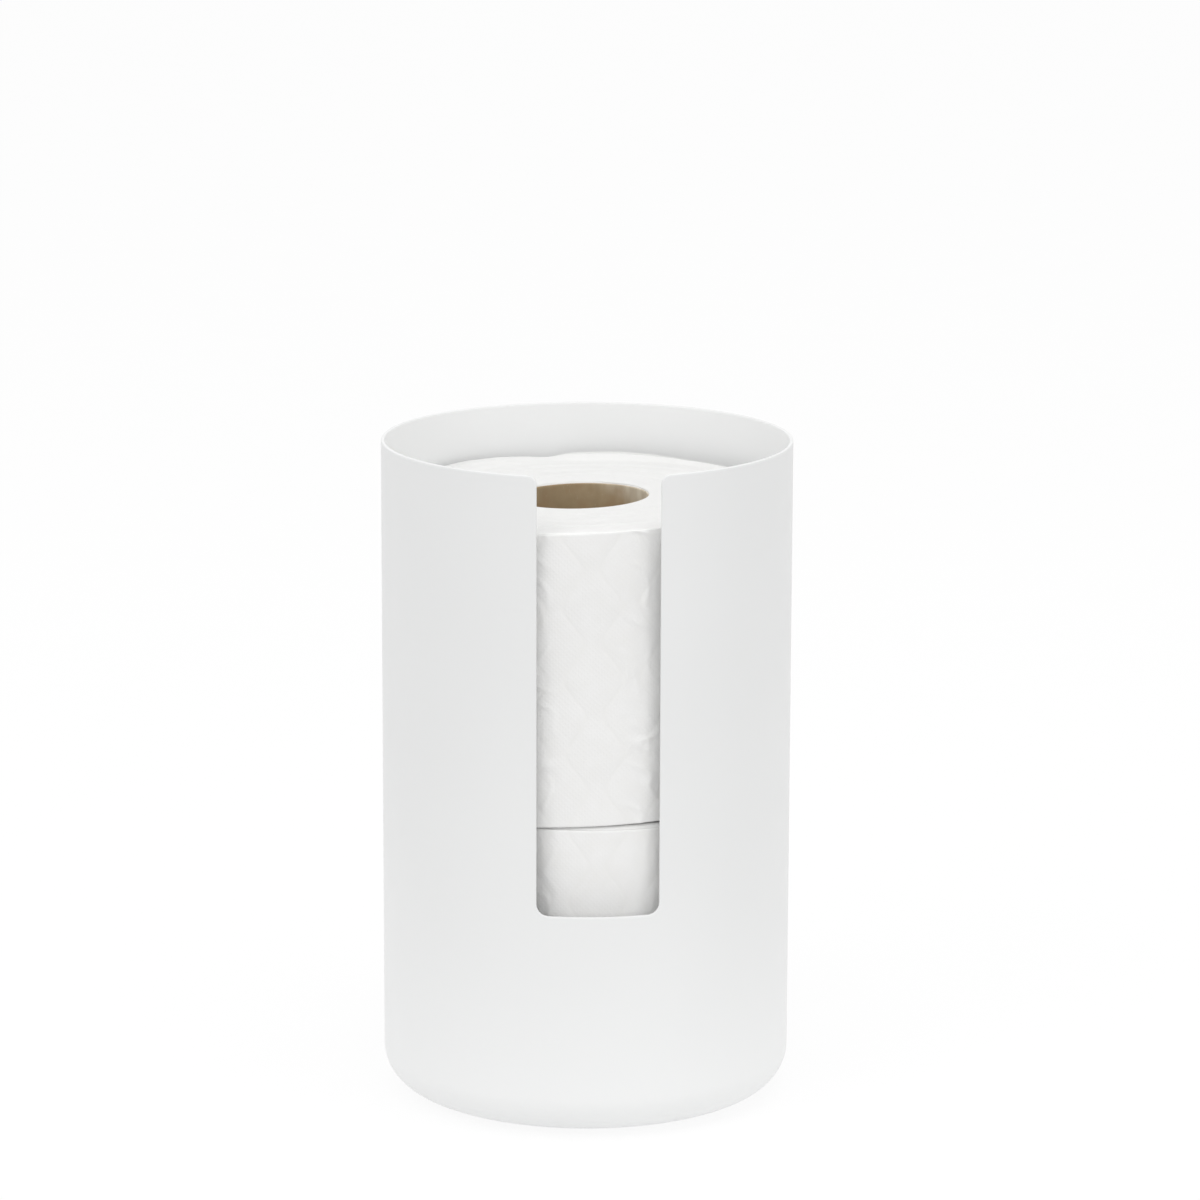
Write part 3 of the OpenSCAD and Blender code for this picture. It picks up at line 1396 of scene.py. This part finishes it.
@dataclass(frozen=True)
class LooseTurn:
    """The last turn of the paper, which lies loose on the roll and ends in a torn edge.

    Lengths are in millimetres. The step, the rows and the edge rows say how fine the sheet is. Each
    family of creases has how many of them there are in one turn and how many over the height, which
    together give their slant. A crease breaks off where the unevenness along it falls from the
    second of crease_breaks to the first.
    """

    shape: RollShape
    emboss: Emboss
    thickness: float = 0.34
    gap: float = 0.03
    taper: float = 9.0
    sink: float = 0.09
    sink_length: float = 6.0
    looseness: float = 0.22
    loosest: float = 1.6
    loose_from: float = 40.0
    loose_waves: int = 9
    loose_stretch: float = 0.6
    edge_wave: float = 0.12
    edge_waves: int = 8
    tear: float = 0.25
    tear_length: float = 2.0
    tooth: float = 2.4
    tooth_sway: float = 0.3
    tooth_waves: float = 19.0
    torn_taper: float = 0.3
    curl: float = 0.35
    curl_length: float = 16.0
    crease: float = 0.15
    crease_sway: float = 0.35
    crease_waves: int = 16
    crease_families: Pairs = ((30.0, 6.0), (56.0, 4.0))
    crease_breaks: tuple[float, float] = (-0.7, 0.5)
    break_waves: int = 12
    bend: float = math.radians(40)
    edge_taper: float = 0.006
    step: float = 0.78
    rows: int = 129
    edge_rows: tuple[float, ...] = (0.0, 0.15, 0.35, 0.6, 0.9, 1.25, 1.65, 2.1)

    def bent(self, from_edge: Array, shoulder: float) -> tuple[Array, Array]:
        """How an edge of the sheet lies round the shoulder of the paper.

        Args:
            from_edge: Distance from the edge along the sheet.
            shoulder: Radius of the shoulder.

        Returns:
            How far in and how far back from the edge each place has moved.
        """
        arc = np.maximum(self.bend - from_edge / shoulder, 0.0)
        return shoulder * (1 - np.cos(arc)), shoulder * (arc - np.sin(arc))

    def creases(self, turn: Array, rise: Array) -> Array:
        """How far the loose sheet stands up in fine broken creases.

        Args:
            turn: Turns from the front.
            rise: Share of the roll's height.

        Returns:
            The height of the creases in millimetres.
        """
        seed = Draw.CREASE + 10 * self.shape.seed
        height = np.zeros(turn.shape)
        for place in self.shape.creased:
            away = degrees_from(turn, place.middle)
            height = height + place.height * hump(away, 0.0, place.reach)
        total = np.zeros(np.broadcast(turn, rise).shape)
        for slant, count in self.crease_families:
            seed += 1
            sway = self.crease_sway * unevenness(turn, rise, seed, self.crease_waves)
            phase = count * rise + slant * turn + sway
            ridge = hump((phase + 0.5) % 1.0 - 0.5, 0.0, self.crease)
            whole = eased(unevenness(turn, rise, seed + 5, self.break_waves), *self.crease_breaks)
            total = total + ridge * whole
        return height * total

    def row_heights(self) -> Array:
        """Spaces the rows, close together along both edges.

        Returns:
            Share of the roll's height at each row.
        """
        edge = np.array(self.edge_rows) / self.shape.height
        middle = np.linspace(edge[-1], 1 - edge[-1], self.rows)[1:-1]
        return np.concatenate([edge, middle, 1 - edge[::-1]])

    def torn(self, turn: Array, rise: Array, to_end: Array) -> Array:
        """Gives the free end its torn teeth.

        Args:
            turn: Turns from the front.
            rise: Share of the roll's height.
            to_end: Distance to the free end.

        Returns:
            The turns, drawn back between the teeth.
        """
        sway = self.tooth_sway * np.sin(rise * self.tooth_waves)
        teeth = np.abs((rise * self.shape.height / self.tooth + sway) % 2.0 - 1.0)
        back = self.tear * teeth / (FULL * self.shape.paper_radius)
        return turn - eased(to_end, self.tear_length, 0.0) * back

    def half_thickness(self, rise: Array, from_start: Array, to_end: Array) -> Array:
        """Half the thickness of the sheet, which closes at its edges and its free end.

        Args:
            rise: Share of the roll's height.
            from_start: Distance from the place where the sheet leaves the roll.
            to_end: Distance to the free end.

        Returns:
            Half the thickness at each place.
        """
        closing = eased(rise, 0.0, self.edge_taper) * eased(rise, 1.0, 1.0 - self.edge_taper)
        whole = self.thickness * eased(from_start, 0.0, self.taper)
        return 0.5 * whole * eased(to_end, 0.0, self.torn_taper) * np.sqrt(closing)

    def middle(self, turn: Array, rise: Array, from_start: Array, to_end: Array) -> Array:
        """How far from the roll's axis the middle of the sheet lies, apart from its bent edges.

        Args:
            turn: Turns from the front.
            rise: Share of the roll's height.
            from_start: Distance from the place where the sheet leaves the roll.
            to_end: Distance to the free end.

        Returns:
            The distance at each place.
        """
        shape = self.shape
        along = self.loose_stretch * rise
        slack = unevenness(turn, along, Draw.LOOSENESS + shape.seed, self.loose_waves)
        loose = self.looseness * (0.5 + 0.5 * slack).clip(0, self.loosest)
        loose = loose * eased(from_start, 0.0, self.loose_from)
        curl = self.curl * eased(to_end, self.curl_length, 0.0) ** 2
        sunk = self.sink * eased(from_start, self.sink_length, 0.0)
        inner = shape.paper_radius + self.gap - sunk
        lying = inner + 0.5 * self.thickness * eased(from_start, 0.0, self.taper) + loose + curl
        relief = self.emboss.relief(turn, rise) + shape.swell(turn, rise)
        return lying + relief + self.creases(turn, rise)

    def build(self, finish: bpy.types.Material) -> bpy.types.Object:
        """Builds the turn.

        Args:
            finish: Its material.

        Returns:
            The piece.
        """
        shape = self.shape
        length = FULL * shape.paper_radius
        start = shape.turn_start / 360.0
        end = (shape.turn_start + shape.turn_arc) / 360.0
        turn = np.linspace(start, end, int((end - start) * length / self.step))[None]
        rise = self.row_heights()[:, None]
        from_start = (turn - start) * length
        to_end = (end - turn) * length
        over, drop = self.bent(shape.height * (1 - rise), shape.upper_shoulder)
        under, lift = self.bent(shape.height * rise, shape.lower_shoulder)
        middle = self.middle(turn, rise, from_start, to_end) - over - under
        half = self.half_thickness(rise, from_start, to_end)
        wave = unevenness(turn, 0.0 * rise, Draw.EDGE_WAVE + shape.seed, self.edge_waves)
        wave = self.edge_wave * wave * (2 * rise - 1) ** 2
        up = rise * shape.height + shape.slip(turn) + wave - drop + lift
        torn = self.torn(turn, rise, to_end)
        skin = Skin()
        for side in (1, -1):
            points = round_axis(middle + side * half, FULL * torn, up)
            skin.add_grid(shape.placed(points), turned=side < 0, winding=winding_at(torn, rise))
        piece = skin.build(shape.node("roll_loose_turn"), [finish])
        return set_up(piece, shape.body, Slot.TISSUE, shape.node("wrap"))


@dataclass(frozen=True)
class Core:
    """The spiral-wound board tube inside a roll. Lengths are in millimetres."""

    shape: RollShape
    columns: int = 240
    rows: int = 130
    edge: float = 0.25
    edge_steps: int = 3
    ply_pitch: float = 74.0
    seam_depth: float = 0.16
    seam_width: float = 1.3
    roughness: float = 0.03
    rough_waves: int = 12

    def seam(self, turn: Array, height: Array) -> Array:
        """How deep the butt joint of the inner ply is at each place."""
        across = (height / self.ply_pitch - turn + 0.5) % 1.0 - 0.5
        return self.seam_depth * hump(across * self.ply_pitch, 0.0, self.seam_width)

    def profile(self) -> Array:
        """Lays out the closed outline of the tube in its half plane.

        Returns:
            Radius and height of each point.
        """
        shape = self.shape
        low, high = shape.core_recess, shape.height - shape.core_recess
        outer, inner = shape.core_radius, shape.core_radius - shape.core_wall
        middle = (outer + inner) / 2
        corners = [(middle, low), (outer, low), (outer, high)]
        corners += [(inner, high), (inner, low), (middle, low)]
        outline = rounded_path(corners, [self.edge] * 4, self.edge_steps)
        path = [outline[0]]
        for point in outline[1:]:
            pieces = max(1, int(abs(point[1] - path[-1][1]) / (high - low) * self.rows))
            path += list(np.linspace(path[-1], point, pieces + 1)[1:])
        return np.array(path)

    def build(self, finish: bpy.types.Material) -> bpy.types.Object:
        """Builds the tube.

        Args:
            finish: Its material.

        Returns:
            The piece.
        """
        shape = self.shape
        radius, height = self.profile().T[:, :, None]
        turn = ring_turns(self.columns)
        rise = height / shape.height
        depth = (shape.core_radius - radius) / shape.core_wall
        inside = eased(depth, 0.5, 1.0)
        rough = unevenness(turn, rise, Draw.BOARD + shape.seed, self.rough_waves)
        worn = self.seam(turn, height) + self.roughness * rough
        reach = radius + shape.oval(turn) + worn * inside
        points = round_axis(reach, FULL * turn, height)
        ply = ring_turns(self.columns, closed=True) - height / self.ply_pitch
        skin = Skin()
        skin.add_grid(shape.placed(points), ring=True, winding=winding_at(ply, rise))
        piece = skin.build(shape.node("roll_core"), [finish])
        return set_up(piece, shape.body, Slot.BOARD, shape.node("core"))


@dataclass(frozen=True)
class Lamp:
    """A soft square lamp. Lengths are in metres, and its power is in watts."""

    name: str
    place: tuple[float, float, float]
    side: float
    power: float

    def hang(self, aim: Vector) -> None:
        """Hangs the lamp.

        Args:
            aim: The point that it faces.
        """
        data = bpy.data.lights.new(self.name, "AREA")
        data.shape = "SQUARE"
        data.size = self.side
        data.energy = self.power
        lamp = bpy.data.objects.new(self.name, data)
        bpy.context.scene.collection.objects.link(lamp)
        lamp.location = self.place
        lamp.rotation_euler = (aim - Vector(self.place)).to_track_quat("-Z", "Y").to_euler()


@dataclass(frozen=True)
class Studio:
    """Floor, lights and camera. Lengths are in metres, angles in degrees.

    The camera stands a little to the left of the slot and looks down on the middle of the can.
    """

    distance: float = 1.694
    elevation: float = 14.25
    azimuth: float = -3.4
    aim_height: float = 0.1105
    down: float = 12.434
    yaw: float = 0.153
    roll: float = 0.179
    lens: float = 152.4
    sensor: float = 36.0
    sight: float = 50.0
    surround: float = 0.90
    floor_half: float = 8.0
    floor_points: int = 33
    floor_crowding: int = 3
    lamps: tuple[Lamp, ...] = (
        Lamp("overhead", (0.20, -0.40, 1.42), 1.0, 3.8),
        Lamp("low_right", (1.25, -1.3, 0.35), 0.7, 2.6),
        Lamp("high_left", (-0.93, -0.85, 1.2), 0.9, 4.1),
    )

    def place_camera(self) -> None:
        """Makes the camera at the photograph's viewing angle."""
        data = bpy.data.cameras.new("camera")
        data.sensor_width = self.sensor
        data.lens = self.lens
        data.clip_end = self.sight
        camera = bpy.data.objects.new("camera", data)
        bpy.context.scene.collection.objects.link(camera)
        side = math.radians(self.azimuth)
        up = math.radians(self.elevation)
        level = self.distance * math.cos(up)
        height = self.aim_height + self.distance * math.sin(up)
        eye = Vector((level * math.sin(side), -level * math.cos(side), height))
        heading = Matrix.Rotation(math.radians(self.azimuth - self.yaw), 4, "Z")
        pitch = Matrix.Rotation(math.radians(90.0 - self.down), 4, "X")
        tilt = Matrix.Rotation(math.radians(self.roll), 4, "Z")
        camera.matrix_world = Matrix.Translation(eye) @ heading @ pitch @ tilt
        bpy.context.scene.camera = camera

    def lay_floor(self) -> None:
        """Makes the floor, with its points crowded under the can."""
        steps = np.linspace(-1, 1, self.floor_points)
        spread = np.sign(steps) * np.abs(steps) ** self.floor_crowding * self.floor_half / MM
        across, along = np.meshgrid(spread, spread)
        skin = Skin()
        skin.add_grid(np.stack([across, along, np.zeros_like(across)], -1))
        floor = skin.build("studio_floor", [StudioFloor().make()], closed=False)
        for face in floor.data.polygons:
            face.use_smooth = False

    def set_world(self) -> None:
        """Surrounds the can with soft white light, and shows pure white behind it."""
        world = bpy.data.worlds.new("studio")
        graph = Graph(world)
        level = graph.ramp(graph.seen(), WHOLE_SPAN, self.surround)
        sky = graph.add("Background", {"Color": WHITE, "Strength": level}).outputs[0]
        graph.add("OutputWorld", {"Surface": sky})
        bpy.context.scene.world = world

    def build(self) -> None:
        """Builds the studio."""
        bpy.context.scene.view_settings.view_transform = "Standard"
        self.place_camera()
        self.lay_floor()
        self.set_world()
        for lamp in self.lamps:
            lamp.hang(Vector((0.0, 0.0, self.aim_height)))
        log.info("studio: camera %.3f m away, %d lamps", self.distance, len(self.lamps))


def main() -> None:
    """Builds the studio, the can with its foot and the two rolls."""
    logging.basicConfig(level=logging.INFO, format="%(name)s: %(message)s", stream=sys.stdout)
    Studio().build()
    SheetCan().build(PowderCoat().make())
    FootRing().dress(Silicone().make())
    emboss = Emboss()
    side = Tissue(emboss).make()
    end = CutTissue().make()
    board = Board().make()
    for shape in (LOWER_ROLL, UPPER_ROLL):
        Core(shape).build(board)
        WoundPaper(shape, emboss).build(side, end)
        LooseTurn(shape, emboss).build(side)


if __name__ == "__main__":
    main()
